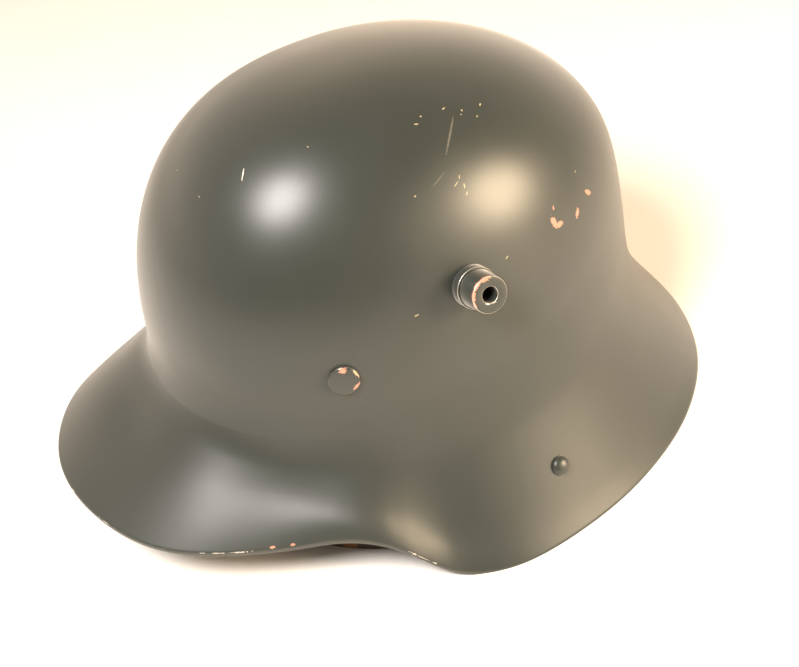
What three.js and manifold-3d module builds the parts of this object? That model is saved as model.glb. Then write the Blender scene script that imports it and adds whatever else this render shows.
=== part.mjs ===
// A pressed steel combat helmet: a deep bowl that flares into a visor, a skirt and a neck guard,
// with hollow vent lugs, liner rivets and a leather chin strap laid round the inside of the rim.
// Millimetres, +Z up. It stands on its rim, with the visor towards -Y and the wearer's left at +X.

import * as THREE from 'three';
import { mergeVertices } from 'three/addons/utils/BufferGeometryUtils.js';
import Module from 'manifold-3d';

const wasm = await Module();
wasm.setup();

// Bowl: half sizes of its wall in plan, from the crown's axis, and how square the plan is
const CROWN_HEIGHT = 176.5;
const WALL_FRONT = 105;
const WALL_SIDE = 87;
const WALL_REAR = 112.5;
const PLAN_POWER_FRONT = 2.1;
const PLAN_POWER_REAR = 2;

// Sizes that change round the helmet: where the wall ends, how full the dome is,
// and how far the fillet between wall and flare runs down the wall and out along the flare
const WALL_FOOT = { front: 60, side: 57, rear: 92 };
const DOME_POWER = { front: 2.53, side: 2.27, rear: 2.07 };
const FILLET_DROP = { front: 0.1, side: 0.1, rear: 0.48 };
const FILLET_REACH = { front: 0.28, side: 0.31, rear: 0.5 };

// Rim: a row for each section, at its turn from the middle of the visor in degrees.
// radius and height place the rim's outer corner, and slope is the fall of the flare in degrees.
// Over the last width of the flare, roll is how much further it bends down, or up if negative.
const RIM = [
  { turn: 0, radius: 156.4, height: 30.8, slope: 18.5, roll: 10, width: 35 },
  { turn: 20, radius: 149.5, height: 27, slope: 32, roll: 5, width: 30 },
  { turn: 40, radius: 126.7, height: 24.8, slope: 32, roll: 18, width: 21.5 },
  { turn: 55, radius: 117, height: 26.8, slope: 33, roll: 31, width: 11 },
  { turn: 65, radius: 116.8, height: 19.8, slope: 35, roll: 13, width: 7.5 },
  { turn: 75, radius: 118.6, height: 0, slope: 46, roll: 14, width: 9.4 },
  { turn: 85, radius: 123.1, height: 0, slope: 47, roll: 0, width: 10 },
  { turn: 100, radius: 122.4, height: 0, slope: 54, roll: -6, width: 9.2 },
  { turn: 120, radius: 125.4, height: 0, slope: 56, roll: -8, width: 9.2 },
  { turn: 140, radius: 133, height: 0, slope: 55, roll: -6, width: 9 },
  { turn: 160, radius: 141.1, height: 0.5, slope: 54, roll: 0, width: 9 },
  { turn: 180, radius: 144.2, height: 1, slope: 54, roll: 4, width: 9 },
];
const EDGE_STRIP = 6.5;

// The press eases the rim over a few degrees: each share of the curve at that many degrees aside
const EASING = [
  { aside: -8, share: 1 / 16 },
  { aside: -4, share: 4 / 16 },
  { aside: 0, share: 6 / 16 },
  { aside: 4, share: 4 / 16 },
  { aside: 8, share: 1 / 16 },
];

// Sheet steel, with its edge folded under along the rim and worn flat where it stands
const SHEET = 1.1;
const HEM_WIDTH = 6;
const HEM_STEP = 0.5;
const HEM_BULGE = 0.9;
const STANDING_FLAT = 0.25;

// Fasteners: where each one's axis meets the outside of the shell
const VENT_LUG_TURN = 92.9;
const VENT_LUG_HEIGHT = 109.9;
const LINER_RIVET_TURN = 55.8;
const LINER_RIVET_HEIGHT = 86.5;
const LINER_REAR_HEIGHT = 98;
const CHIN_RIVET_TURN = 103.1;
const CHIN_RIVET_HEIGHT = 21.8;
const GAP = 0.3;
const SEAT_SAG = 0.2;
const INSIDE_SAG = 0.5;
const HOLE_LENGTH = 22;

// Vent lug: a collar, a groove and a slightly tapered barrel, bored right through
const LUG = { collar: 8.4, groove: 7.1, barrel: 7.7, face: 7.3, bore: 3.3, shank: 5, flange: 6.5 };
const LUG_LENGTH = 15;
const COLLAR_LENGTH = 4.6;
const GROOVE_WIDTH = 0.6;
const LUG_CHAMFER = 0.7;
const FLANGE_THICKNESS = 1.2;

// Rivets: a low flat head for the liner, a small round head for the chin strap
const LINER_HEAD = { radius: 6.1, height: 1.3, chamfer: 0.4, shank: 2.5, tail: 4.5 };
const CHIN_HEAD = { radius: 4.1, height: 2.4, shank: 2, tail: 4.5 };
const TAIL_THICKNESS = 1.5;

// Chin strap: it stands on edge on the floor round the front, then climbs to its two rivets
const STRAP_WIDTH = 16;
const STRAP_THICKNESS = 2;
const STRAP_RADIUS = 100;
const STRAP_FLOOR_END = 72;
const STRAP_WALL_START = 93;
const STRAP_END = 113;

// Fineness of the mesh
const SEGMENTS = 72;
const DOME_STEPS = 11;
const FLARE_STEPS = 8;
const ROLL_STEPS = 2;
const STRIP_STEPS = 1;
const ROUND_SIDES = 22;
const STRAP_STEPS = 46;
const WELD = 1e-4;
const NUDGE = 1e-3;

const PAINT = { color: 0x716b5d, roughness: 0.42, metalness: 0.0 };
const LEATHER = { color: 0x6a4526, roughness: 0.7, metalness: 0.0 };

const radians = THREE.MathUtils.degToRad;

// A value with a front, side and rear size, at a turn from the middle of the visor
function blend(sizes, turn) {
  const forward = Math.cos(radians(turn));
  const end = forward > 0 ? sizes.front : sizes.rear;
  return sizes.side + (end - sizes.side) * forward * forward;
}

// Slope of a rim column at a row, so that the curve through the rows never overshoots them
function columnSlope(column, row) {
  if (row === 0 || row === RIM.length - 1) {
    return 0;
  }
  const before = RIM[row].turn - RIM[row - 1].turn;
  const after = RIM[row + 1].turn - RIM[row].turn;
  const rise = (RIM[row][column] - RIM[row - 1][column]) / before;
  const next = (RIM[row + 1][column] - RIM[row][column]) / after;
  if (rise * next <= 0) {
    return 0;
  }
  const weight = 2 * after + before;
  const nextWeight = after + 2 * before;
  return (weight + nextWeight) / (weight / rise + nextWeight / next);
}

// A rim column at any turn; left and right sides are alike
function rimCurve(column, turn) {
  const wrapped = Math.abs(((turn + 180) % 360 + 360) % 360 - 180);
  const found = RIM.findIndex((row) => row.turn >= wrapped);
  const upper = Math.max(1, found);
  const low = RIM[upper - 1];
  const high = RIM[upper];
  const span = high.turn - low.turn;
  const t = (wrapped - low.turn) / span;
  const start = low[column] * (1 + 2 * t) * (1 - t) ** 2;
  const finish = high[column] * (3 - 2 * t) * t ** 2;
  const leave = columnSlope(column, upper - 1) * span * t * (1 - t) ** 2;
  const arrive = columnSlope(column, upper) * span * (t - 1) * t ** 2;
  return start + finish + leave + arrive;
}

function rimValue(column, turn) {
  return EASING.reduce((sum, { aside, share }) => sum + share * rimCurve(column, turn + aside), 0);
}

function wallRadius(turn) {
  const forward = Math.cos(radians(turn));
  const sideways = Math.abs(Math.sin(radians(turn)));
  const depth = forward > 0 ? WALL_FRONT : WALL_REAR;
  const power = forward > 0 ? PLAN_POWER_FRONT : PLAN_POWER_REAR;
  return (Math.abs(forward / depth) ** power + (sideways / WALL_SIDE) ** power) ** (-1 / power);
}

// Point of the section at a turn. stage runs 0 to 1 from the crown down the dome,
// 1 to 2 down the flare, 2 to 3 over the roll and 3 to 4 along the edge strip.
// x is the radius and y the height.
function sectionPoint(turn, stage) {
  const wall = new THREE.Vector2(wallRadius(turn), blend(WALL_FOOT, turn));
  if (stage <= 1) {
    const power = 2 / blend(DOME_POWER, turn);
    const rise = CROWN_HEIGHT - wall.y;
    const angle = stage * Math.PI / 2;
    return new THREE.Vector2(wall.x * Math.sin(angle) ** power, wall.y + rise * Math.cos(angle) ** power);
  }
  const slope = radians(rimValue('slope', turn));
  const roll = radians(rimValue('roll', turn));
  const width = rimValue('width', turn);
  const rollTurn = (way) => {
    const mean = slope + roll * way / width / 2;
    return new THREE.Vector2(Math.cos(mean), -Math.sin(mean)).multiplyScalar(way);
  };
  const rim = new THREE.Vector2(rimValue('radius', turn), rimValue('height', turn));
  const brink = rim.clone().sub(rollTurn(width));
  if (stage > 2) {
    const way = (width - EDGE_STRIP) * Math.min(1, stage - 2) + EDGE_STRIP * Math.max(0, stage - 3);
    return brink.add(rollTurn(way));
  }
  const reach = blend(FILLET_REACH, turn) * wall.distanceTo(brink);
  const below = new THREE.Vector2(wall.x, wall.y - blend(FILLET_DROP, turn) * (wall.y - brink.y));
  const inside = new THREE.Vector2(brink.x - reach * Math.cos(slope), brink.y + reach * Math.sin(slope));
  return new THREE.CubicBezierCurve(wall, below, inside, brink).getPoint(stage - 1);
}

function outerPoint(turn, stage) {
  const point = sectionPoint(turn, stage);
  const angle = radians(turn);
  return new THREE.Vector3(point.x * Math.sin(angle), -point.x * Math.cos(angle), point.y);
}

// Direction down the section, from a short step either side that stays within the section
function fallDirection(turn, stage) {
  const low = outerPoint(turn, Math.max(0, stage - NUDGE));
  const high = outerPoint(turn, Math.min(4, stage + NUDGE));
  return high.sub(low).normalize();
}

function outerNormal(turn, stage) {
  if (stage < NUDGE) {
    return new THREE.Vector3(0, 0, 1);
  }
  const round = outerPoint(turn + NUDGE, stage).sub(outerPoint(turn - NUDGE, stage));
  return fallDirection(turn, stage).cross(round).normalize();
}

// Point inside the sheet: depth below its outer face, and overhang past the rim
function shellPoint(turn, { stage, depth, overhang = 0 }) {
  const point = outerPoint(turn, stage);
  point.addScaledVector(outerNormal(turn, stage), -depth);
  return point.addScaledVector(fallDirection(turn, stage), overhang);
}

// Stage at which the outer face has come down to a height
function stageAtHeight(turn, height) {
  let low = 0;
  let high = 4;
  while (high - low > NUDGE / 10) {
    const middle = (low + high) / 2;
    if (sectionPoint(turn, middle).y > height) {
      low = middle;
    } else {
      high = middle;
    }
  }
  return (low + high) / 2;
}

// Solids for cutting, and the way back to a geometry
function toSolid(geometry) {
  const bare = geometry.clone();
  bare.deleteAttribute('normal');
  bare.deleteAttribute('uv');
  const welded = mergeVertices(bare, WELD);
  const corners = welded.index.array;
  const triVerts = [];
  for (let k = 0; k < corners.length; k += 3) {
    const [a, b, c] = corners.slice(k, k + 3);
    if (a !== b && b !== c && c !== a) {
      triVerts.push(a, b, c);
    }
  }
  const mesh = new wasm.Mesh({
    numProp: 3,
    vertProperties: new Float32Array(welded.attributes.position.array),
    triVerts: new Uint32Array(triVerts),
  });
  return new wasm.Manifold(mesh);
}

function toGeometry(solid) {
  const mesh = solid.getMesh();
  const geometry = new THREE.BufferGeometry();
  geometry.setAttribute('position', new THREE.Float32BufferAttribute(mesh.vertProperties, 3));
  geometry.setIndex(new THREE.Uint32BufferAttribute(mesh.triVerts, 1));
  geometry.computeVertexNormals();
  return geometry;
}

// Where a fastener sits: local +Y points straight out of the shell
function seatMatrix(turn, height) {
  const stage = stageAtHeight(turn, height);
  const facing = new THREE.Quaternion();
  facing.setFromUnitVectors(new THREE.Vector3(0, 1, 0), outerNormal(turn, stage));
  return new THREE.Matrix4().compose(outerPoint(turn, stage), facing, new THREE.Vector3(1, 1, 1));
}

const VENT_SEATS = {
  left: seatMatrix(VENT_LUG_TURN, VENT_LUG_HEIGHT),
  right: seatMatrix(-VENT_LUG_TURN, VENT_LUG_HEIGHT),
};
const LINER_SEATS = {
  left: seatMatrix(LINER_RIVET_TURN, LINER_RIVET_HEIGHT),
  right: seatMatrix(-LINER_RIVET_TURN, LINER_RIVET_HEIGHT),
  rear: seatMatrix(180, LINER_REAR_HEIGHT),
};
const CHIN_SEATS = {
  left: seatMatrix(CHIN_RIVET_TURN, CHIN_RIVET_HEIGHT),
  right: seatMatrix(-CHIN_RIVET_TURN, CHIN_RIVET_HEIGHT),
};

// A clearance hole along a fastener's axis
function hole(seat, shank) {
  const cutter = new THREE.CylinderGeometry(shank + GAP, shank + GAP, HOLE_LENGTH, ROUND_SIDES);
  return toSolid(cutter.applyMatrix4(seat));
}

// Shell: a lathe of the sheet's section, with each vertex moved to its place on the real form
function shellGeometry() {
  const outline = [];
  const stages = [];
  for (let k = 0; k < DOME_STEPS; k += 1) {
    stages.push(k / DOME_STEPS);
  }
  for (let k = 0; k < FLARE_STEPS; k += 1) {
    stages.push(1 + k / FLARE_STEPS);
  }
  for (let k = 0; k < ROLL_STEPS; k += 1) {
    stages.push(2 + k / ROLL_STEPS);
  }
  for (let k = 0; k <= STRIP_STEPS; k += 1) {
    stages.push(3 + k / STRIP_STEPS);
  }
  const foldStage = 4 - HEM_WIDTH / EDGE_STRIP;
  const foldEnd = foldStage - HEM_STEP / EDGE_STRIP;
  outline.push(...stages.map((stage) => ({ stage, depth: 0 })));
  outline.push({ stage: 4, depth: SHEET / 2, overhang: HEM_BULGE });
  outline.push({ stage: 4, depth: 3 * SHEET / 2, overhang: HEM_BULGE });
  outline.push({ stage: 4, depth: 2 * SHEET });
  outline.push({ stage: foldStage, depth: 2 * SHEET });
  outline.push({ stage: foldEnd, depth: SHEET });
  const inner = stages.filter((stage) => stage < foldEnd - 0.01).reverse();
  outline.push(...inner.map((stage) => ({ stage, depth: SHEET })));
  outline.reverse();

  const plain = outline.map((point) => new THREE.Vector2(point.stage, -point.depth));
  const geometry = new THREE.LatheGeometry(plain, SEGMENTS);
  const position = geometry.attributes.position;
  for (let k = 0; k < position.count; k += 1) {
    const turn = (Math.floor(k / outline.length) % SEGMENTS) * 360 / SEGMENTS;
    const { x, y, z } = shellPoint(turn, outline[k % outline.length]);
    position.setXYZ(k, x, y, z);
  }
  return geometry;
}

function makeShell() {
  let solid = toSolid(shellGeometry());
  const standing = solid.boundingBox().min[2] + STANDING_FLAT;
  const below = new THREE.BoxGeometry(4 * CROWN_HEIGHT, 4 * CROWN_HEIGHT, CROWN_HEIGHT);
  below.translate(0, 0, standing - CROWN_HEIGHT / 2);
  solid = solid.subtract(toSolid(below));
  Object.values(VENT_SEATS).forEach((seat) => {
    solid = solid.subtract(hole(seat, LUG.shank));
  });
  Object.values(LINER_SEATS).forEach((seat) => {
    solid = solid.subtract(hole(seat, LINER_HEAD.shank));
  });
  Object.values(CHIN_SEATS).forEach((seat) => {
    solid = solid.subtract(hole(seat, CHIN_HEAD.shank));
  });
  return toGeometry(solid);
}

// Vent lug: its section, from the bore's inner mouth up the outside and back down the bore
function makeVentLug() {
  const seat = SEAT_SAG;
  const flangeTop = -SHEET - GAP - INSIDE_SAG;
  const collarTop = seat + COLLAR_LENGTH;
  const section = [
    [LUG.bore, flangeTop - FLANGE_THICKNESS],
    [LUG.flange, flangeTop - FLANGE_THICKNESS],
    [LUG.flange, flangeTop],
    [LUG.shank, flangeTop],
    [LUG.shank, seat],
    [LUG.collar, seat],
    [LUG.collar, collarTop - LUG_CHAMFER],
    [LUG.collar - LUG_CHAMFER, collarTop],
    [LUG.groove, collarTop],
    [LUG.groove, collarTop + GROOVE_WIDTH],
    [LUG.barrel, collarTop + GROOVE_WIDTH],
    [LUG.face, LUG_LENGTH - LUG_CHAMFER],
    [LUG.face - LUG_CHAMFER, LUG_LENGTH],
    [LUG.bore, LUG_LENGTH],
    [LUG.bore, flangeTop - FLANGE_THICKNESS],
  ];
  return new THREE.LatheGeometry(section.map(([r, y]) => new THREE.Vector2(r, y)), ROUND_SIDES);
}

// Rivet: the given head above the shell, a shank through it and a plain round tail inside
function makeRivet(head, headOutline, grip) {
  const tailTop = -SHEET - grip - GAP;
  const section = [
    [0, tailTop - TAIL_THICKNESS],
    [head.tail, tailTop - TAIL_THICKNESS],
    [head.tail, tailTop],
    [head.shank, tailTop],
    [head.shank, SEAT_SAG],
    ...headOutline,
  ];
  return new THREE.LatheGeometry(section.map(([r, y]) => new THREE.Vector2(r, y)), ROUND_SIDES);
}

function makeLinerRivet() {
  const { radius, height, chamfer } = LINER_HEAD;
  const outline = [
    [radius, SEAT_SAG],
    [radius, SEAT_SAG + height - chamfer],
    [radius - chamfer, SEAT_SAG + height],
    [0, SEAT_SAG + height],
  ];
  return makeRivet(LINER_HEAD, outline, INSIDE_SAG);
}

function makeChinRivet() {
  const { radius, height } = CHIN_HEAD;
  const outline = [0, 20, 40, 60, 75, 90].map((degrees) => {
    const angle = radians(degrees);
    return [radius * Math.cos(angle), 2 * SEAT_SAG + height * Math.sin(angle)];
  });
  outline[outline.length - 1][0] = 0;
  outline.unshift([CHIN_HEAD.shank, 2 * SEAT_SAG]);
  return makeRivet(CHIN_HEAD, outline, STRAP_THICKNESS + 2 * GAP);
}

// Middle of the strap at a turn, with the directions across its width and through its thickness
function strapFrame(turn) {
  const away = Math.abs(turn);
  const climb = THREE.MathUtils.smoothstep(away, STRAP_FLOOR_END, STRAP_WALL_START);
  const angle = radians(turn);
  const outward = new THREE.Vector3(Math.sin(angle), -Math.cos(angle), 0);
  const floor = outward.clone().multiplyScalar(STRAP_RADIUS);
  floor.z = standingHeight + GAP + STRAP_WIDTH / 2;
  const stage = stageAtHeight(turn, CHIN_RIVET_HEIGHT);
  const depth = SHEET + GAP + STRAP_THICKNESS / 2;
  const wall = shellPoint(turn, { stage, depth });
  const across = new THREE.Vector3(0, 0, 1).lerp(fallDirection(turn, stage).negate(), climb).normalize();
  const through = outward.lerp(outerNormal(turn, stage), climb);
  through.addScaledVector(across, -through.dot(across)).normalize();
  return { middle: floor.lerp(wall, climb), across, through };
}

// Chin strap: a long thin box, bent to its place, with an eyelet at each rivet
function makeChinStrap() {
  const strip = new THREE.BoxGeometry(2 * STRAP_END, STRAP_WIDTH, STRAP_THICKNESS, STRAP_STEPS, 1, 1);
  const position = strip.attributes.position;
  for (let k = 0; k < position.count; k += 1) {
    const { middle, across, through } = strapFrame(position.getX(k));
    middle.addScaledVector(across, position.getY(k));
    middle.addScaledVector(through, position.getZ(k));
    position.setXYZ(k, middle.x, middle.y, middle.z);
  }
  let solid = toSolid(strip);
  Object.values(CHIN_SEATS).forEach((seat) => {
    solid = solid.subtract(hole(seat, CHIN_HEAD.shank));
  });
  return toGeometry(solid);
}

const shell = makeShell();
shell.computeBoundingBox();
const standingHeight = shell.boundingBox.min.z;

const helmet = new THREE.Group();
helmet.name = 'helmet';
helmet.position.y = -(shell.boundingBox.min.y + shell.boundingBox.max.y) / 2;
helmet.position.z = -standingHeight;

function addPiece(name, geometry, finish, seat) {
  const mesh = new THREE.Mesh(geometry, new THREE.MeshStandardMaterial(finish));
  mesh.name = name;
  if (seat) {
    mesh.applyMatrix4(seat);
  }
  helmet.add(mesh);
}

addPiece('shell', shell, PAINT);
Object.entries(VENT_SEATS).forEach(([side, seat]) => {
  addPiece(`vent_lug_${side}`, makeVentLug(), PAINT, seat);
});
Object.entries(LINER_SEATS).forEach(([side, seat]) => {
  addPiece(`liner_rivet_${side}`, makeLinerRivet(), PAINT, seat);
});
Object.entries(CHIN_SEATS).forEach(([side, seat]) => {
  addPiece(`chin_rivet_${side}`, makeChinRivet(), PAINT, seat);
});
addPiece('chin_strap', makeChinStrap(), LEATHER);

const part = new THREE.Group();
part.add(helmet);
part.updateMatrixWorld(true);

export default part;
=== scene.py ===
# %% [markdown]
# # A pressed steel helmet on a pale floor
# The helmet is one sheet of steel, drawn into a deep dome, swept out into a visor and a neck guard,
# folded under along its edge and painted field grey. Two vent lugs, three flat liner rivets and two
# domed chin-strap rivets go through it, and a leather chin strap lies inside.
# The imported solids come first. They fix each size and place, so every finer piece below is made
# where its solid already is, and only its looks are better.

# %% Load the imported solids
import functools
import math

import bmesh
import bpy
import numpy as np
from mathutils import Matrix, Quaternion, Vector


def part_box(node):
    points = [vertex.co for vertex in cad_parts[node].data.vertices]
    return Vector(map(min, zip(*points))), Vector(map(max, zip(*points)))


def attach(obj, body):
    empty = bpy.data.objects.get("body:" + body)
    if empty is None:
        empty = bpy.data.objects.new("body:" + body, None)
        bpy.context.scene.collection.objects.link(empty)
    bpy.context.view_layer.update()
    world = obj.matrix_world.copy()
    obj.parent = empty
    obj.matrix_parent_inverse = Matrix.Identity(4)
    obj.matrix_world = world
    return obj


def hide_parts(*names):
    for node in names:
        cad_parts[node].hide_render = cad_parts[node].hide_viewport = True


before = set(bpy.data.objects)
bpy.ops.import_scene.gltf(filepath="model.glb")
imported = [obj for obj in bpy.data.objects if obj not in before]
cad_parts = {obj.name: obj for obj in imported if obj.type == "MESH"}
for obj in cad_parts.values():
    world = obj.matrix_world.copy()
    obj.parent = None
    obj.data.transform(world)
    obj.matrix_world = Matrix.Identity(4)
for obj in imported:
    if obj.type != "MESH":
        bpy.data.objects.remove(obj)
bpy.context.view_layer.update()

MM = 0.001

# %% [markdown]
# ## The camera
# The photograph looks down on the wearer's left side, from between the visor and the ear, with the
# camera leaning a little. A camera can be placed by eye, but an angle round the object, a height
# angle, a lean and a distance say the same thing in four numbers that are easy to change.

# %% Camera at the photograph's angle
CAMERA_TURN, CAMERA_LIFT, CAMERA_LEAN = 68.2, 38.7, -8.7
CAMERA_DISTANCE = 558.6 * MM
CAMERA_AIM = Vector((61.5, -14.1, 86.4)) * MM
CAMERA_LENS, CAMERA_SENSOR = 63.44, 36.0


def direction(turn, lift):
    """Unit vector at a turn from the visor's middle, towards the wearer's left, and a height angle."""
    turn, lift = math.radians(turn), math.radians(lift)
    return Vector((math.sin(turn) * math.cos(lift), -math.cos(turn) * math.cos(lift), math.sin(lift)))


camera = bpy.data.objects.new("camera", bpy.data.cameras.new("camera"))
camera.data.lens, camera.data.sensor_width = CAMERA_LENS, CAMERA_SENSOR
camera.data.sensor_fit = "HORIZONTAL"
backward = direction(CAMERA_TURN, CAMERA_LIFT)
camera.location = CAMERA_AIM + backward * CAMERA_DISTANCE
camera.rotation_mode = "QUATERNION"
upright = backward.to_track_quat("Z", "Y")
camera.rotation_quaternion = Quaternion(backward, math.radians(CAMERA_LEAN)) @ upright
bpy.context.collection.objects.link(camera)
bpy.context.scene.camera = camera
print("camera stands at, mm:", [round(place / MM) for place in camera.location])

# %% [markdown]
# ## The form of the sheet
# A press shapes the sheet between two dies, so its form is best told as a section that changes as
# it goes round. Each section is a quarter of a rounded dome, a flare that turns outward, and a short
# rolled edge. A subdivision cage could be pulled to the same look, but sections keep the real sizes:
# a few of them at the front, side and rear, and one short table for the rim.

# %% Sizes of the section, in millimetres and degrees
# The fillet's drop and reach are shares of the flare's height and length; the powers square off a round.
CROWN_HEIGHT = 176.5
WALL = {"front": 105, "side": 87, "rear": 112.5}
PLAN_POWER = {"front": 2.1, "rear": 2}
WALL_FOOT = {"front": 60, "side": 57, "rear": 92}
DOME_POWER = {"front": 2.53, "side": 2.27, "rear": 2.07}
FILLET_DROP = {"front": 0.1, "side": 0.1, "rear": 0.48}
FILLET_REACH = {"front": 0.28, "side": 0.31, "rear": 0.5}
EDGE_STRIP = 6.5
SHEET, HEM_WIDTH, HEM_BULGE = 1.1, 6, 0.9
# The rim's columns are eased over these degrees to each side, each with its share
EASING = {-8: 1 / 16, -4: 4 / 16, 0: 6 / 16, 4: 4 / 16, 8: 1 / 16}

# Radius and height place the rim, slope is the flare's fall, and roll bends its last width further
RIM_COLUMNS = ("turn", "radius", "height", "slope", "roll", "width")
RIM_ROWS = (
    (0, 156.4, 30.8, 18.5, 10, 35),
    (20, 149.5, 27, 32, 5, 30),
    (40, 126.7, 24.8, 32, 18, 21.5),
    (55, 117, 26.8, 33, 31, 11),
    (65, 116.8, 19.8, 35, 13, 7.5),
    (75, 118.6, 0, 46, 14, 9.4),
    (85, 123.1, 0, 47, 0, 10),
    (100, 122.4, 0, 54, -6, 9.2),
    (120, 125.4, 0, 56, -8, 9.2),
    (140, 133, 0, 55, -6, 9),
    (160, 141.1, 0.5, 54, 0, 9),
    (180, 144.2, 1, 54, 4, 9),
)
RIM = [dict(zip(RIM_COLUMNS, row)) for row in RIM_ROWS]
# The crown's axis in the frame: behind the middle of the length, and raised by the fold under the rim
CROWN_AXIS = Vector((0, 6.25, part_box("shell")[1].z / MM - CROWN_HEIGHT))
print("rim rows:", len(RIM), " crown axis, mm:", [round(place, 2) for place in CROWN_AXIS])

# %% The section at any turn
def blend(sizes, turn):
    """A size with a front, side and rear value, at a turn."""
    forward = math.cos(math.radians(turn))
    end = sizes["front"] if forward > 0 else sizes["rear"]
    return sizes["side"] + (end - sizes["side"]) * forward**2


def column_slope(column, row):
    """Slope of a rim column at a row, kept small enough that the curve never overshoots the rows."""
    if row in (0, len(RIM) - 1):
        return 0
    before, here, after = RIM[row - 1], RIM[row], RIM[row + 1]
    left, right = here["turn"] - before["turn"], after["turn"] - here["turn"]
    rise, climb = (here[column] - before[column]) / left, (after[column] - here[column]) / right
    if rise * climb <= 0:
        return 0
    weights = (2 * right + left, right + 2 * left)
    return sum(weights) / (weights[0] / rise + weights[1] / climb)


def rim_curve(column, turn):
    """A rim column at any turn, alike on the left and right."""
    turn = abs((turn + 180) % 360 - 180)
    upper = max(1, next(k for k, row in enumerate(RIM) if row["turn"] >= turn))
    low, high = RIM[upper - 1], RIM[upper]
    span = high["turn"] - low["turn"]
    t = (turn - low["turn"]) / span
    ends = low[column] * (1 + 2 * t) * (1 - t) ** 2 + high[column] * (3 - 2 * t) * t**2
    leave, arrive = column_slope(column, upper - 1), column_slope(column, upper)
    return ends + span * t * (1 - t) * (leave * (1 - t) - arrive * t)


def rim_value(column, turn):
    """The rim column eased over a few degrees, as the press leaves it."""
    return sum(share * rim_curve(column, turn + aside) for aside, share in EASING.items())


@functools.lru_cache(maxsize=None)
def section(turn):
    """The sizes of the section at a turn: wall, brink of the rolled edge and the flare's two handles."""
    forward, sideways = math.cos(math.radians(turn)), abs(math.sin(math.radians(turn)))
    end = "front" if forward > 0 else "rear"
    power = PLAN_POWER[end]
    radius = (abs(forward / WALL[end]) ** power + (sideways / WALL["side"]) ** power) ** (-1 / power)
    wall = Vector((radius, blend(WALL_FOOT, turn)))
    slope, roll = (math.radians(rim_value(column, turn)) for column in ("slope", "roll"))
    rim = Vector((rim_value("radius", turn), rim_value("height", turn)))
    width = rim_value("width", turn)
    brink = rim - width * Vector((math.cos(slope + roll / 2), -math.sin(slope + roll / 2)))
    below = Vector((wall.x, wall.y - blend(FILLET_DROP, turn) * (wall.y - brink.y)))
    reach = blend(FILLET_REACH, turn) * (wall - brink).length
    inside = brink + reach * Vector((-math.cos(slope), math.sin(slope)))
    return {"wall": wall, "below": below, "inside": inside, "brink": brink,
            "slope": slope, "roll": roll, "width": width}


def outer_point(turn, stage):
    """Point of the outer face.

    Stage 0 to 1 goes down the dome, 1 to 2 down the flare, 2 to 3 over the roll and 3 to 4 along the
    edge strip.
    """
    cut = section(turn)
    wall, brink = cut["wall"], cut["brink"]
    if stage <= 1:
        power, angle = 2 / blend(DOME_POWER, turn), stage * math.pi / 2
        rise = (CROWN_HEIGHT - wall.y) * max(0, math.cos(angle)) ** power
        flat = Vector((wall.x * math.sin(angle) ** power, wall.y + rise))
    elif stage <= 2:
        t = stage - 1
        flat = wall * (1 - t) ** 3 + cut["below"] * 3 * t * (1 - t) ** 2
        flat = flat + cut["inside"] * 3 * t**2 * (1 - t) + brink * t**3
    else:
        way = (cut["width"] - EDGE_STRIP) * min(1, stage - 2) + EDGE_STRIP * max(0, stage - 3)
        angle = cut["slope"] + cut["roll"] * way / cut["width"] / 2
        flat = brink + way * Vector((math.cos(angle), -math.sin(angle)))
    side = math.radians(turn)
    return CROWN_AXIS + Vector((flat.x * math.sin(side), -flat.x * math.cos(side), flat.y))


print("visor reaches to, mm:", [round(place, 1) for place in outer_point(0, 4)])

# %% Directions on the sheet, and places named by a height
STEP = 1e-3  # small move in stage or degrees, for measuring a direction
HALVINGS = 30  # enough to find a height to far less than a hair's breadth


def fall_direction(turn, stage):
    """The way down the section."""
    return (outer_point(turn, stage + STEP) - outer_point(turn, max(0, stage - STEP))).normalized()


def outer_normal(turn, stage):
    """The way straight out of the sheet, which is straight up at the crown."""
    if stage < STEP:
        return Vector((0, 0, 1))
    around = outer_point(turn + STEP, stage) - outer_point(turn - STEP, stage)
    return fall_direction(turn, stage).cross(around).normalized()


def sheet_point(turn, stage, depth):
    """Point at a depth in the sheet. Along the edge strip the depth turns to straight down, so the
    folded edge faces outward like the real one and not along the flare."""
    inward = outer_normal(turn, stage).lerp(Vector((0, 0, 1)), max(0, min(1, stage - 3))).normalized()
    return outer_point(turn, stage) - depth * inward


def stage_at(turn, height):
    """Stage at which the outer face has come down to a height above the section's own zero."""
    low, high = 0, 4
    for _ in range(HALVINGS):
        middle = (low + high) / 2
        if outer_point(turn, middle).z - CROWN_AXIS.z > height:
            low = middle
        else:
            high = middle
    return low


def seat_at(turn, height):
    """Place of a fastener: its local Z points straight out of the sheet."""
    stage = stage_at(turn, height)
    facing = outer_normal(turn, stage).to_track_quat("Z", "Y").to_matrix().to_4x4()
    return Matrix.Translation(outer_point(turn, stage)) @ facing


print("ear-side wall faces:", [round(part, 2) for part in outer_normal(90, 1)])

# %% [markdown]
# ## The die's round corner
# Where the wall turns into the flare, a press can't make a sharp corner: the sheet bends round the
# edge of the die. A bevel modifier would round every edge alike, so here each point near the wall's
# foot takes the average of the sheet just above and below it. The stretch that is averaged is short
# at the visor, where the photograph shows a groove, and long at the ears, where it shows none.

# %% Average the section round the foot of the wall
PRESS_ROUND = {"front": 10, "side": 22, "rear": 22}  # stretch averaged above and below the foot, mm
PRESS_BAND = 36  # that stretch shrinks to nothing this far from the foot, mm
LINE_STAGES = np.arange(0.5, 4.01, 0.02)  # from half-way down the dome to the edge
AVERAGED = np.linspace(-1, 1, 17)


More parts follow.
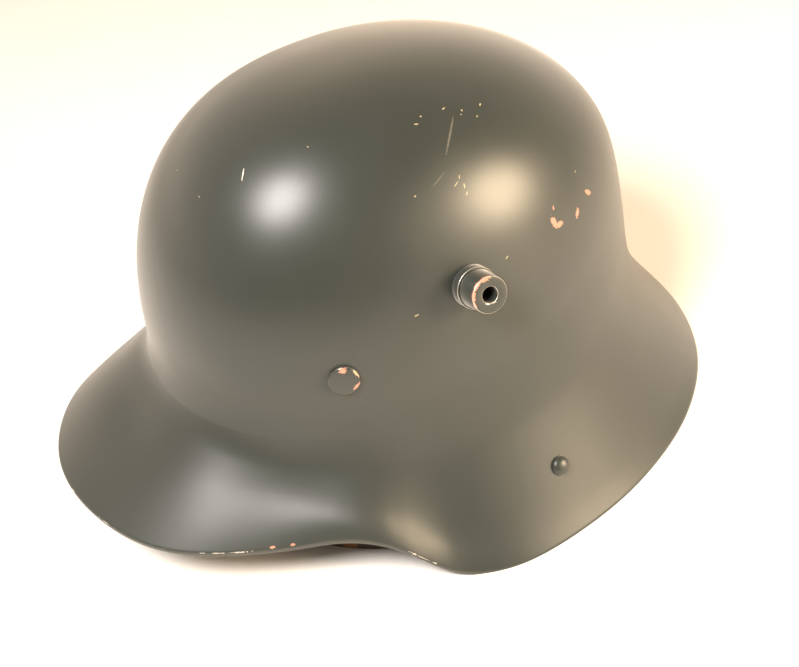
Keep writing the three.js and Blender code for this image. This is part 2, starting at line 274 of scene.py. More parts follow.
@functools.lru_cache(maxsize=None)
def fall_line(turn):
    """Points down the outer face, and how far each lies along the sheet from the foot of the wall."""
    line = np.array([outer_point(turn, stage) for stage in LINE_STAGES.tolist()])
    run = np.concatenate(([0], np.cumsum(np.linalg.norm(np.diff(line, axis=0), axis=1))))
    return line, run - np.interp(1, LINE_STAGES, run)


def press_round(turn, stage):
    """How far the die's round corner shifts the sheet."""
    line, run = fall_line(turn)
    here = np.interp(stage, LINE_STAGES, run)
    reach = blend(PRESS_ROUND, turn) * max(0, 1 - (here / PRESS_BAND) ** 2)
    if reach == 0:
        return Vector((0, 0, 0))
    return Vector([np.interp(here + reach * AVERAGED, run, axis).mean() - np.interp(here, run, axis)
                   for axis in line.T])


print("the die's round moves the sheet by, mm:",
      {turn: round(max(press_round(turn, stage).length for stage in LINE_STAGES), 1)
       for turn in range(0, 181, 15)})

# %% [markdown]
# ## The shell
# The sheet and its folded edge are one closed section. Spinning that section makes a round pot with
# the right rows of faces, and then each vertex moves to its place on the real form. A lattice or a
# sculpt could bend a plain pot too, but here the radius of the spun pot holds the stage down the
# section, so no list of faces is needed and the rows stay even round the helmet.

# %% Spin the section, then send each vertex to its place
SHELL_TURNS = 336
DOME_ROWS, FLARE_ROWS, ROLL_ROWS, STRIP_ROWS, FOLD_ROWS, INSIDE_ROWS = 44, 26, 8, 8, 12, 44
FOLD_POWER = 3.4  # a hammered fold is flatter in the middle than a half round, with two soft corners
WEAR_LINE, WEAR_REACH = 0.5, 3.5  # the fold's upper corner is rubbed most, and less for this far from it
UNWORN = 100  # a distance from that corner at which nothing is rubbed
LIP_DROP, LIP_FOOT = 0.02, 0.05  # stages in which the folded lip rounds off and meets the sheet
LIP_ROUND = 1.9  # depth of the lip's rounded corner, in thicknesses of the sheet
SKIRT_FROM, SKIRT_FULL = 0.85, 1.4  # stages between which the dome's paint becomes the skirt's
WELD = 1e-5  # points this near to each other are one


def section_rows():
    """(stage, depth, distance from the worn corner) down the outside, round the fold and up inside."""
    for k in range(DOME_ROWS + 1):
        yield k / DOME_ROWS, 0, UNWORN
    for k in range(1, FLARE_ROWS + 1):
        yield 1 + k / FLARE_ROWS, 0, UNWORN
    for k in range(1, ROLL_ROWS):
        yield 2 + k / ROLL_ROWS, 0, UNWORN
    for k in range(STRIP_ROWS + 1):
        yield 3 + k / STRIP_ROWS, 0, WEAR_LINE + EDGE_STRIP * (1 - k / STRIP_ROWS)
    for k in range(1, FOLD_ROWS + 1):
        angle = math.pi * k / FOLD_ROWS
        past = HEM_BULGE * max(0, math.sin(angle)) ** (2 / FOLD_POWER)
        down = SHEET * (1 - math.copysign(abs(math.cos(angle)) ** (2 / FOLD_POWER), math.cos(angle)))
        yield 4 + past / EDGE_STRIP, down, abs(past + down - 2 * WEAR_LINE)
    lip = 4 - HEM_WIDTH / EDGE_STRIP
    yield (4 + lip) / 2, 2 * SHEET, UNWORN
    yield lip, 2 * SHEET, UNWORN
    yield lip - LIP_DROP, LIP_ROUND * SHEET, UNWORN
    yield lip - LIP_FOOT, SHEET, UNWORN
    for k in range(INSIDE_ROWS - 1, -1, -1):
        yield (lip - LIP_FOOT) * k / INSIDE_ROWS, SHEET, UNWORN


def spun_shell():
    """The closed section spun round and moved to its form, with its worn edge and dull skirt marked."""
    bm = bmesh.new()
    edge_wear = bm.verts.layers.float.new("edge_wear")
    skirt = bm.verts.layers.float.new("skirt")
    line = []
    for stage, depth, from_corner in section_rows():
        vertex = bm.verts.new((stage, 0, -depth))
        vertex[edge_wear] = max(0, 1 - from_corner / WEAR_REACH)
        vertex[skirt] = min(1, max(0, (stage - SKIRT_FROM) / (SKIRT_FULL - SKIRT_FROM)))
        line.append(vertex)
    edges = [bm.edges.new(pair) for pair in zip(line, line[1:])]
    bmesh.ops.spin(bm, geom=line + edges, cent=(0, 0, 0), axis=(0, 0, 1), angle=2 * math.pi,
                   steps=SHELL_TURNS, use_merge=True)
    bmesh.ops.remove_doubles(bm, verts=bm.verts, dist=WELD)
    for vertex in bm.verts:
        stage = vertex.co.xy.length
        turn = round(math.degrees(math.atan2(vertex.co.x, -vertex.co.y)), 6)
        place = sheet_point(turn, stage, -vertex.co.z) + press_round(turn, stage)
        place.z = max(place.z, 0)
        vertex.co = place * MM
    bmesh.ops.recalc_face_normals(bm, faces=bm.faces)
    return bm


shell_bm = spun_shell()
print("shell faces:", len(shell_bm.faces))

# %% [markdown]
# ## From a bmesh to a piece
# Every piece ends the same way: its bmesh becomes an object at the origin, with smooth faces and
# creases where they turn sharply, and it takes the place of its solid. One function does that, so
# no piece can miss a step.

# %% Finish a piece
CREASE = 40  # faces that meet at more than this many degrees keep a sharp edge


def piece_from(bm, name, node):
    """An object from a bmesh, in the place of its solid."""
    mesh = bpy.data.meshes.new(name)
    bm.to_mesh(mesh)
    bm.free()
    mesh.shade_smooth()
    mesh.set_sharp_from_angle(angle=math.radians(CREASE))
    piece = bpy.data.objects.new(name, mesh)
    bpy.context.collection.objects.link(piece)
    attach(piece, "root")
    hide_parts(node)
    print(f"{name}: {sum(len(face.vertices) - 2 for face in mesh.polygons)} triangles")
    return piece


shell = piece_from(shell_bm, "helmet_shell", "shell")

# %% [markdown]
# ## Turned fasteners
# The vent lugs were turned from bar, and the rivets were upset from wire: both are round about an
# axis. A cylinder with loop cuts would do, but a half section spun about Z is closer to the lathe,
# and a bevel on its rings gives each edge the small round that catches the light.

# %% Spin a half section into a fastener
ROUND_STEPS, EDGE_SEGMENTS = 72, 3
RING_ANGLE = 30  # rings where faces meet at more than this many degrees are rounded
LEVEL = 1e-4  # an edge that rises less than this lies in a ring
GAP = 0.3  # room between pieces, mm
SEAT_SAG, INSIDE_SAG = 0.2, 0.5  # how far the curved sheet falls away from a flat head or tail, mm


def turned(half_section, edge_round, wear=1, closed=False):
    """A solid spun from (radius, height) points, with its ring edges rounded and marked as worn."""
    bm = bmesh.new()
    worn = bm.verts.layers.float.new("edge_wear")
    line = [bm.verts.new((radius, 0, height)) for radius, height in half_section]
    pairs = list(zip(line, line[1:] + line[:1] if closed else line[1:]))
    edges = [bm.edges.new(pair) for pair in pairs]
    bmesh.ops.spin(bm, geom=line + edges, cent=(0, 0, 0), axis=(0, 0, 1), angle=2 * math.pi,
                   steps=ROUND_STEPS, use_merge=True)
    bmesh.ops.remove_doubles(bm, verts=bm.verts, dist=LEVEL)
    bmesh.ops.recalc_face_normals(bm, faces=bm.faces)
    rings = [edge for edge in bm.edges if edge.calc_face_angle(0) > math.radians(RING_ANGLE)
             and abs(edge.verts[0].co.z - edge.verts[1].co.z) < LEVEL]
    made = bmesh.ops.bevel(bm, geom=rings, offset=edge_round, offset_type="OFFSET", profile=0.5,
                           segments=EDGE_SEGMENTS, affect="EDGES", material=-1, clamp_overlap=True)
    rounds = set(made["faces"])
    for vertex in made["verts"]:
        vertex[worn] = wear * rounds.issuperset(vertex.link_faces)
    return bm


print("steps round a fastener:", ROUND_STEPS)

# %% [markdown]
# ## Vent lugs
# A lug lets air into the helmet. It has a collar, a thin groove and a slightly tapered barrel, and
# its bore is coloured near black, as painted shade for the dark deep inside it. Piercing the sheet
# below it with a boolean would show nothing more, because hardly any light gets that far, so
# painted shade is enough.

# %% Vent lugs: collar, groove and a slightly tapered barrel with a bore
VENT_LUG_TURN, VENT_LUG_HEIGHT, LUG_LENGTH = 92.9, 109.9, 15
LUG = {"collar": 8.4, "groove": 7.1, "barrel": 7.7, "face": 7.3, "bore": 3.3, "shank": 5, "flange": 6.5}
COLLAR_LENGTH, GROOVE_WIDTH, FLANGE_THICKNESS = 4.6, 0.6, 1.2
LUG_EDGE, LUG_WEAR = 0.45, 1.2  # a lug stands out, so its edges are rubbed more than the others
SHADE_SLACK, SHADE_START = 0.05, 0.4  # the painted shade lies on the bore's wall, and starts this far in


def vent_lug():
    """A lug with its axis up, open from face to flange, and painted shade marked in its bore."""
    flange_top = -SHEET - GAP - INSIDE_SAG
    collar_top = SEAT_SAG + COLLAR_LENGTH
    bm = turned([
        (LUG["bore"], flange_top - FLANGE_THICKNESS),
        (LUG["flange"], flange_top - FLANGE_THICKNESS),
        (LUG["flange"], flange_top),
        (LUG["shank"], flange_top),
        (LUG["shank"], SEAT_SAG),
        (LUG["collar"], SEAT_SAG),
        (LUG["collar"], collar_top),
        (LUG["groove"], collar_top),
        (LUG["groove"], collar_top + GROOVE_WIDTH),
        (LUG["barrel"], collar_top + GROOVE_WIDTH),
        (LUG["face"], LUG_LENGTH),
        (LUG["bore"], LUG_LENGTH),
    ], LUG_EDGE, LUG_WEAR, closed=True)
    bore_shade = bm.verts.layers.float.new("bore_shade")
    for vertex in bm.verts:
        on_wall = vertex.co.xy.length < LUG["bore"] + SHADE_SLACK
        vertex[bore_shade] = on_wall and vertex.co.z < LUG_LENGTH - SHADE_START
    return bm


def placed(bm, seat):
    """The bmesh at its seat, in metres."""
    bm.transform(Matrix.Scale(MM, 4) @ seat)
    return bm


VENT_SEATS = {"left": seat_at(VENT_LUG_TURN, VENT_LUG_HEIGHT),
              "right": seat_at(-VENT_LUG_TURN, VENT_LUG_HEIGHT)}
vent_lugs = [
    piece_from(placed(vent_lug(), seat), f"turned_vent_lug_{side}", f"vent_lug_{side}")
    for side, seat in VENT_SEATS.items()
]

# %% [markdown]
# ## Rivets
# Three flat rivets hold the lining's band and two small domed ones the chin strap. A rivet is a
# head, a shank through the sheet and a tail hammered flat inside. One outline makes both kinds; only
# the head changes, so a new kind of rivet is a few points and not a new model.

# %% Liner rivets: flat low heads
LINER_TURN, LINER_HEIGHT, LINER_REAR_HEIGHT = 55.8, 86.5, 98
LINER_HEAD = {"radius": 6.1, "height": 1.3, "shank": 2.5, "tail": 4.5, "edge": 0.5}
TAIL_THICKNESS = 1.5


def rivet(head, head_outline, grip):
    """A rivet with its axis up: a tail below the sheet and what it grips, a shank and a head."""
    tail_top = -SHEET - grip - GAP
    return turned([
        (0, tail_top - TAIL_THICKNESS),
        (head["tail"], tail_top - TAIL_THICKNESS),
        (head["tail"], tail_top),
        (head["shank"], tail_top),
        (head["shank"], head_outline[0][1]),
        *head_outline,
    ], head["edge"])


def liner_rivet():
    """A flat head with a soft corner."""
    top = SEAT_SAG + LINER_HEAD["height"]
    outline = [(LINER_HEAD["radius"], SEAT_SAG), (LINER_HEAD["radius"], top), (0, top)]
    return rivet(LINER_HEAD, outline, INSIDE_SAG)


LINER_SEATS = {"left": seat_at(LINER_TURN, LINER_HEIGHT), "right": seat_at(-LINER_TURN, LINER_HEIGHT),
               "rear": seat_at(180, LINER_REAR_HEIGHT)}
liner_rivets = [
    piece_from(placed(liner_rivet(), seat), f"flat_liner_rivet_{side}", f"liner_rivet_{side}")
    for side, seat in LINER_SEATS.items()
]

# %% Chin-strap rivets: small domes
CHIN_TURN, CHIN_HEIGHT = 103.1, 21.8
CHIN_HEAD = {"radius": 4.1, "height": 2.4, "lip": 0.3, "shank": 2, "tail": 4.5, "edge": 0.15}
STRAP_THICKNESS, STRAP_WIDTH = 2, 16
DOME_STEPS = 10


def chin_rivet():
    """A domed head on a short upright lip."""
    foot = 2 * SEAT_SAG
    outline = [(CHIN_HEAD["radius"], foot)]
    for k in range(DOME_STEPS + 1):
        angle = math.pi / 2 * k / DOME_STEPS
        height = foot + CHIN_HEAD["lip"] + (CHIN_HEAD["height"] - CHIN_HEAD["lip"]) * math.sin(angle)
        outline.append((CHIN_HEAD["radius"] * max(0, math.cos(angle)), height))
    return rivet(CHIN_HEAD, outline, STRAP_THICKNESS + 2 * GAP)


CHIN_SEATS = {"left": seat_at(CHIN_TURN, CHIN_HEIGHT), "right": seat_at(-CHIN_TURN, CHIN_HEIGHT)}
chin_rivets = [
    piece_from(placed(chin_rivet(), seat), f"domed_chin_rivet_{side}", f"chin_rivet_{side}")
    for side, seat in CHIN_SEATS.items()
]

# %% [markdown]
# ## The chin strap
# The strap is cut from a flat hide, so it starts as a flat grid and is bent to its place: standing
# on its edge on the floor inside the visor, and turning up to lie against the wall at each rivet.
# A curve with a bevelled profile could carry it, but bending a grid keeps its width square to its
# path. Solidify gives it the hide's thickness and a bevel its burnished edges.

# %% Bend a strip of leather to its place
STRAP_RADIUS = 100
STRAP_FLOOR_END, STRAP_WALL_START, STRAP_END = 72, 93, 113  # turns where it leaves the floor, and ends
STRAP_STEPS, STRAP_ROWS = 180, 6
BURNISH, BURNISH_SEGMENTS = 0.5, 3


def strap_frame(turn):
    """Middle of the strap at a turn, and the directions across its width and through its thickness."""
    t = min(1, max(0, (abs(turn) - STRAP_FLOOR_END) / (STRAP_WALL_START - STRAP_FLOOR_END)))
    climb = t * t * (3 - 2 * t)
    outward = direction(turn, 0)
    standing = Vector((CROWN_AXIS.x, CROWN_AXIS.y, GAP + STRAP_WIDTH / 2))
    floor = standing + outward * STRAP_RADIUS
    stage = stage_at(turn, CHIN_HEIGHT)
    wall = sheet_point(turn, stage, SHEET + GAP + STRAP_THICKNESS / 2)
    across = Vector((0, 0, 1)).lerp(-fall_direction(turn, stage), climb).normalized()
    through = outward.lerp(outer_normal(turn, stage), climb)
    through = (through - across * through.dot(across)).normalized()
    return floor.lerp(wall, climb), across, through


def chin_strap():
    """The strip bent to its path, with millimetres along it marked on its vertices."""
    bm = bmesh.new()
    bmesh.ops.create_grid(bm, x_segments=STRAP_STEPS, y_segments=STRAP_ROWS, size=1)
    along = bm.verts.layers.float.new("along")
    for vertex in bm.verts:
        turn, aside = vertex.co.x * STRAP_END, vertex.co.y * STRAP_WIDTH / 2
        middle, across, through = strap_frame(turn)
        vertex[along] = math.radians(turn) * STRAP_RADIUS
        vertex.co = (middle + across * aside - through * STRAP_THICKNESS / 2) * MM
    bmesh.ops.recalc_face_normals(bm, faces=bm.faces)
    bmesh.ops.solidify(bm, geom=bm.faces, thickness=STRAP_THICKNESS * MM)
    return bm


strap = piece_from(chin_strap(), "leather_chin_strap", "chin_strap")
burnish = strap.modifiers.new("burnished_edge", "BEVEL")
burnish.width, burnish.segments, burnish.limit_method = BURNISH * MM, BURNISH_SEGMENTS, "ANGLE"
print("strap length, mm:", round(2 * math.radians(STRAP_END) * STRAP_RADIUS))

# %% [markdown]
# ## Nodes and colours
# Colours are picked as sRGB hex values, as in any paint program, and the shader wants them linear.
# A node tree gets long when each node takes four lines, so one function adds a node, sets it and
# links what goes into it.

# %% Colour and node helpers
def linear(hex_code):
    """sRGB hex to a linear colour."""
    channels = [int(hex_code[k:k + 2], 16) / 255 for k in (1, 3, 5)]
    return (*[c / 12.92 if c <= 0.04045 else ((c + 0.055) / 1.055) ** 2.4 for c in channels], 1)


def add(tree, kind, inputs, **settings):
    """A node of that kind with its settings, its sockets set or linked, and its first output."""
    node = tree.nodes.new(kind)
    for name, value in settings.items():
        setattr(node, name, value)
    for name, value in inputs.items():
        if isinstance(value, bpy.types.NodeSocket):
            tree.links.new(value, node.inputs[name])
        else:
            node.inputs[name].default_value = value
    return next(socket for socket in node.outputs if socket.enabled)


def material_tree(name):
    """An empty material with its shader, and the piece's own coordinates in metres."""
    made = bpy.data.materials.new(name)
    made.use_nodes = True
    tree = made.node_tree
    shader = next(node for node in tree.nodes if node.type == "BSDF_PRINCIPLED")
    spot = tree.nodes.new("ShaderNodeTexCoord").outputs["Object"]
    return made, tree, shader, spot


print("middle grey, linear:", [round(part, 3) for part in linear("#808080")[:3]])

# %% [markdown]
# ## Field-grey paint
# The helmet was sprayed with a satin enamel over a salmon primer. From arm's length it is one
# greenish grey; close to, it has a faint orange-peel skin, cloudy patches where hands have rubbed it,
# and small losses that show the primer, or bright steel where it was struck.
# Losses could be painted on an image, but a short table of marks, each an ellipse with a broken
# edge at its own place on the sheet, keeps the material procedural.

# %% Marks in the paint, in degrees and millimetres
# Proud is how far a mark's place stands off the sheet, for the marks on a rivet's or a lug's face.
# A rub only helps the wear of the edge to break through; the other kinds show what their name says.
MARK_COLUMNS = ("turn", "height", "proud", "along", "across", "lean", "shows")
MARK_ROWS = (
    (123.5, 115.4, 0, 5.2, 2.4, 95, "primer"),
    (124.9, 113.5, 0, 4.4, 2.2, -10, "primer"),
    (125.2, 120.4, 0, 1.8, 0.8, 70, "primer"),
    (131.9, 112, 0, 3.4, 1.8, 40, "primer"),
    (132.6, 113.2, 0, 2.0, 1.3, 60, "primer"),
    (138.5, 115.4, 0, 4.4, 2.0, -50, "primer"),
    (138, 125.5, 0, 0.9, 0.6, 30, "dust"),
    (73.5, 53, 0, 7, 0.3, 10, "scuff"),
    (25.5, 158.5, 0, 5.0, 0.5, 108, "steel"),
    (31, 25.4, 0, 34, 9, 24, "rub"),
    (12, 28.8, 0, 8, 8, 24, "rub"),
    (69, 12, 0, 14, 8, -30, "rub"),
    (40.5, 24.9, 0, 2.4, 1.1, 20, "primer"),
    (44, 25, 0, 1.8, 1.0, 15, "primer"),
    (128.5, 160.3, 0, 1.3, 0.6, 20, "dust"),
    (122.8, 158.4, 0, 1, 0.52, 0, "dust"),
    (114, 164, 0, 1.7, 0.45, 0, "dust"),
    (97, 163.5, 0, 1.7, 0.52, -20, "dust"),
    (101.5, 164.7, 0, 0.8, 0.52, 0, "dust"),
    (120, 161.6, 0, 0.9, 0.52, 50, "dust"),
    (118, 160.8, 0, 0.8, 0.45, 10, "dust"),
    (46, 165, 0, 0.8, 0.52, 0, "dust"),
    (-1, 151.8, 0, 0.8, 0.52, 0, "dust"),
    (14, 149.8, 0, 0.8, 0.52, 0, "dust"),
    (84, 145.7, 0, 0.9, 0.52, 0, "dust"),
    (105.5, 113.6, 0, 1.7, 0.52, 30, "dust"),
    (76, 106.2, 0, 2, 0.52, 10, "dust"),
    (99.4, 144.6, 0, 2.7, 0.3, 25, "dust"),
    (101.4, 146, 0, 1.8, 0.38, 60, "dust"),
    (101.6, 143, 0, 2.1, 0.45, 70, "dust"),
    (101.2, 140.5, 0, 1.7, 0.38, 40, "dust"),
    (94, 147.8, 0, 7.5, 0.4, 25, "scuff"),
    (107.5, 157.8, 0, 19, 0.8, 40, "scuff"),
    (45.4, 157.6, 0, 5.5, 0.5, 70, "score"),
    (46.6, 157.4, 0, 4.5, 0.5, 75, "score"),
    (55.8, 91.4, 1.4, 3.0, 2.4, 0, "primer"),
    (59, 89.2, 1.4, 4.4, 1.6, -55, "dust"),
    (58.7, 83.8, 1.4, 4.8, 1.1, 45, "primer"),
    (92.4, 116.4, 15, 6.0, 3.6, -5, "primer"),
    (90.0, 114.8, 15, 5.0, 2.0, 40, "primer"),
    (88.6, 111.6, 15, 5.4, 1.4, 75, "primer"),
    (88.4, 108.4, 15, 4.0, 1.0, 100, "primer"),
    (96.0, 115.4, 15, 3.2, 1.2, -50, "primer"),
    (92.6, 107.2, 15, 4.4, 0.8, -10, "steel"),
)
MARKS = [dict(zip(MARK_COLUMNS, row)) for row in MARK_ROWS]
MARK_REACH = 0.9  # how far a mark goes in: less than the sheet's thickness, so it stays on the outside
MARK_RAGGED = 1.7  # share of noise that breaks up a mark's edge
MARK_OUT, MARK_IN = 1.95, 1.7  # distance plus noise where a mark begins, and where it is full


def per_mm(size):
    """Texture scale at which one lump or wave is about that many millimetres across."""
    return 1 / (size * MM)


def mark_field(tree, spot, mark):
    """0 at a mark's middle and 1 at its edge, in the mark's own turned and stretched space."""
    stage = stage_at(mark["turn"], mark["height"])
    normal, fall = outer_normal(mark["turn"], stage), fall_direction(mark["turn"], stage)
    place = outer_point(mark["turn"], stage) + normal * mark["proud"]
    long_way = Quaternion(normal, math.radians(mark["lean"])) @ fall.cross(normal)
    axes = Matrix((long_way, normal.cross(long_way), normal)).transposed()
    half_size = Vector((mark["along"] / 2, mark["across"] / 2, MARK_REACH)) * MM
    local = add(tree, "ShaderNodeMapping", {"Vector": spot, "Location": place * MM,
                                            "Rotation": axes.to_euler(), "Scale": half_size},
                vector_type="TEXTURE")
    return add(tree, "ShaderNodeVectorMath", {0: local}, operation="LENGTH").node.outputs["Value"]


def marks_mask(tree, spot, ragged, shows):
    """1 inside every mark of one kind, with broken edges."""
    mask = 0
    for mark in MARKS:
        if mark["shows"] == shows:
            distance = mark_field(tree, spot, mark)
            broken = add(tree, "ShaderNodeMath", {0: ragged, 1: MARK_RAGGED, 2: distance},
                         operation="MULTIPLY_ADD")
            inside = add(tree, "ShaderNodeMapRange", {"Value": broken, "From Min": MARK_OUT,
                                                      "From Max": MARK_IN})
            mask = add(tree, "ShaderNodeMath", {0: mask, 1: inside}, operation="MAXIMUM")
    return mask


print("marks:", {kind: sum(mark["shows"] == kind for mark in MARKS)
                 for kind in ("primer", "steel", "dust", "scuff", "score", "rub")})

# %% Sprayed satin enamel
PAINT_WARM, PAINT_COOL = linear("#2d312c"), linear("#292d29")
LOSSES = {"scuff": linear("#57534a"), "dust": linear("#9a8e6e"), "score": linear("#24221f"),
          "primer": linear("#b27d68"), "steel": linear("#d2cabd")}
# Painted shade: near black for the deep bore of a vent lug, where hardly any light gets in
BORE_SHADE = linear("#050404")
# Sizes of the patterns in millimetres: the spray's peel, clouds, broken edges of marks, patches of wear.
# Real chips break up more finely than BREAK_SIZE, which is drawn coarser so that a render can show it.
PEEL_SIZE, CLOUD_SIZE, BREAK_SIZE, WEAR_SIZE = 0.9, 32, 0.7, 9
WEAR_PATCHY, WEAR_HANDLED = 0.8, 0.13  # how much patches and rubs add to the wear of an edge
BARE_FROM, BARE_FULL = 1.46, 1.5  # the wear at which steel begins to show, and shows fully
STEEL_METAL = 0.6  # worn steel is dull and dirty, so it is not all metal
CLOUD_LOW, CLOUD_HIGH = 0.3, 0.7  # the part of the noise that is used
SATIN_LOW, SATIN_HIGH = 0.32, 0.36  # a satin enamel lies between gloss at 0.1 and matt at 0.6
SKIRT_DULLER = 0.11  # hands and cloths rub the skirt and visor, so their paint is rougher
ENAMEL_IOR = 1.47  # alkyd resin
# Old enamel has a faint chalky bloom, which only shows as a paler edge at glancing angles
BLOOM, BLOOM_ROUGHNESS, BLOOM_TINT = 0.38, 0.45, linear("#fff5e9")
LOSS_DEPTH, PEEL_STRENGTH, PEEL_DEPTH = -3, 0.25, 0.02  # a loss lies three peels deep


def field_grey_enamel():
    """Enamel sprayed over primer."""
    # To the eye: soft-edged highlights, a pale bloom along the outline and small broken losses.
    made, tree, shader, spot = material_tree("field_grey_satin_enamel_sprayed")
    clouds = add(tree, "ShaderNodeTexNoise", {"Vector": spot, "Scale": per_mm(CLOUD_SIZE), "Detail": 5})
    peel = add(tree, "ShaderNodeTexNoise", {"Vector": spot, "Scale": per_mm(PEEL_SIZE), "Detail": 2})
    ragged = add(tree, "ShaderNodeTexNoise", {"Vector": spot, "Scale": per_mm(BREAK_SIZE), "Detail": 2})
    masks = {shows: marks_mask(tree, spot, ragged, shows) for shows in LOSSES}

    edge = add(tree, "ShaderNodeAttribute", {}, attribute_name="edge_wear").node.outputs["Fac"]
    rubs = add(tree, "ShaderNodeTexNoise", {"Vector": spot, "Scale": per_mm(WEAR_SIZE), "Detail": 6,
                                            "Roughness": 0.65})
    rubbed = add(tree, "ShaderNodeMath", {0: rubs, 1: WEAR_PATCHY, 2: edge}, operation="MULTIPLY_ADD")
    handled = marks_mask(tree, spot, ragged, "rub")
    rubbed = add(tree, "ShaderNodeMath", {0: handled, 1: WEAR_HANDLED, 2: rubbed},
                 operation="MULTIPLY_ADD")
    bare = add(tree, "ShaderNodeMapRange", {"Value": rubbed, "From Min": BARE_FROM,
                                            "From Max": BARE_FULL})
    masks["steel"] = add(tree, "ShaderNodeMath", {0: masks["steel"], 1: bare}, operation="MAXIMUM")

    colour = add(tree, "ShaderNodeMix", {"Factor": clouds, "A": PAINT_COOL, "B": PAINT_WARM},
                 data_type="RGBA")
    for shows, shade in LOSSES.items():
        colour = add(tree, "ShaderNodeMix", {"Factor": masks[shows], "A": colour, "B": shade},
                     data_type="RGBA")
    # Painted shade: the lug's bore is coloured near black, and is made rough below
    bore_shade = add(tree, "ShaderNodeAttribute", {}, attribute_name="bore_shade").node.outputs["Fac"]
    colour = add(tree, "ShaderNodeMix", {"Factor": bore_shade, "A": colour, "B": BORE_SHADE}, data_type="RGBA")
    tree.links.new(colour, shader.inputs["Base Color"])
    metal = add(tree, "ShaderNodeMath", {0: masks["steel"], 1: STEEL_METAL}, operation="MULTIPLY")
    tree.links.new(metal, shader.inputs["Metallic"])

    satin = add(tree, "ShaderNodeMapRange", {"Value": clouds,
                                             "From Min": CLOUD_LOW, "From Max": CLOUD_HIGH,
                                             "To Min": SATIN_LOW, "To Max": SATIN_HIGH})
    skirt = add(tree, "ShaderNodeAttribute", {}, attribute_name="skirt").node.outputs["Fac"]
    satin = add(tree, "ShaderNodeMath", {0: skirt, 1: SKIRT_DULLER, 2: satin}, operation="MULTIPLY_ADD")
    dull = add(tree, "ShaderNodeMath", {0: satin, 1: bore_shade}, operation="MAXIMUM")
    tree.links.new(dull, shader.inputs["Roughness"])
    shader.inputs["IOR"].default_value = ENAMEL_IOR
    shader.inputs["Sheen Weight"].default_value = BLOOM
    shader.inputs["Sheen Roughness"].default_value = BLOOM_ROUGHNESS
    shader.inputs["Sheen Tint"].default_value = BLOOM_TINT

    lost = add(tree, "ShaderNodeMath", {0: masks["primer"], 1: masks["steel"]}, operation="MAXIMUM")
    height = add(tree, "ShaderNodeMath", {0: lost, 1: LOSS_DEPTH, 2: peel}, operation="MULTIPLY_ADD")
    bump = add(tree, "ShaderNodeBump", {"Height": height, "Strength": PEEL_STRENGTH,
                                        "Distance": PEEL_DEPTH * MM})
    tree.links.new(bump, shader.inputs["Normal"])
    return made


enamel = field_grey_enamel()
for piece in (shell, *vent_lugs, *liner_rivets, *chin_rivets):
    piece.data.materials.append(enamel)
print("enamel nodes:", len(enamel.node_tree.nodes))

# %% [markdown]
# ## Bridle leather
# The strap is vegetable-tanned hide, waxed dark on its face. It only shows as a dark strip in the
# shade of the visor, where one bend catches the light, so a grain, a slow change of tone and one
# paler stretch of painted light on that bend are enough; stitching or pores would never be seen.

# %% Waxed bridle leather
LEATHER_DARK, LEATHER_BROWN, PAINTED_LIGHT_AMBER = linear("#1d130c"), linear("#35230f"), linear("#5f3d14")
GRAIN_SIZE, TONE_SIZE = 0.8, 14  # the real grain is finer, and is drawn coarser so that it shows
# The paler stretch is painted light, where the strap's bend catches the lamps
LIT_BEND_AT, LIT_BEND_LENGTH = 88.5, 6  # millimetres along the strap from its middle
WAXED, WORN_DRY = 0.5, 0.8  # roughness of the grain's hills and hollows
GRAIN_STRENGTH, GRAIN_DEPTH = 0.5, 0.15


def bridle_leather():
    """Waxed hide, dark, with one amber stretch of painted light where its bend catches the lamps."""
    # To the eye: a dull dark strip with a fine broken grain and one paler end of painted light.
    made, tree, shader, spot = material_tree("brown_bridle_leather_cut_and_waxed")
    grain = add(tree, "ShaderNodeTexNoise", {"Vector": spot, "Scale": per_mm(GRAIN_SIZE), "Detail": 4})
    tone = add(tree, "ShaderNodeTexNoise", {"Vector": spot, "Scale": per_mm(TONE_SIZE), "Detail": 4})
    colour = add(tree, "ShaderNodeMix", {"Factor": tone, "A": LEATHER_DARK, "B": LEATHER_BROWN},
                 data_type="RGBA")
    along = add(tree, "ShaderNodeAttribute", {}, attribute_name="along").node.outputs["Fac"]
    # Painted light: an amber stretch stands for the lit bend of the strap
    lit_bend = add(tree, "ShaderNodeMath", {0: along, 1: LIT_BEND_AT, 2: LIT_BEND_LENGTH / 2},
                operation="COMPARE")
    colour = add(tree, "ShaderNodeMix", {"Factor": lit_bend, "A": colour, "B": PAINTED_LIGHT_AMBER},
                 data_type="RGBA")
    tree.links.new(colour, shader.inputs["Base Color"])
    dull = add(tree, "ShaderNodeMapRange", {"Value": grain, "To Min": WAXED, "To Max": WORN_DRY})
    tree.links.new(dull, shader.inputs["Roughness"])
    bump = add(tree, "ShaderNodeBump", {"Height": grain, "Strength": GRAIN_STRENGTH,
                                        "Distance": GRAIN_DEPTH * MM})
    tree.links.new(bump, shader.inputs["Normal"])
    return made


strap.data.materials.append(bridle_leather())
print("strap finish:", strap.data.materials[0].name)

# %% [markdown]
# ## The floor
# The helmet stands on white paper. A sheet that curves up behind would hide the horizon too, but a
# floor that runs far out does it from every low angle, and it stays one flat grid.

# %% A wide floor of white paper
FLOOR_HALF, FLOOR_CELLS = 12.0, 8  # metres from the middle to each side
PAPER, PAPER_PALE, PAPER_PATCH = linear("#f2ede6"), linear("#f6f2ec"), 60
PAPER_ROUGHNESS = 0.9


def white_paper():
    """Uncoated paper."""
    # To the eye: an even pale ground with no highlight of its own, which lights the helmet from below.
    made, tree, shader, spot = material_tree("white_paper_matt")
    tone = add(tree, "ShaderNodeTexNoise", {"Vector": spot, "Scale": per_mm(PAPER_PATCH), "Detail": 2})
    colour = add(tree, "ShaderNodeMix", {"Factor": tone, "A": PAPER, "B": PAPER_PALE}, data_type="RGBA")
    tree.links.new(colour, shader.inputs["Base Color"])
    shader.inputs["Roughness"].default_value = PAPER_ROUGHNESS
    return made


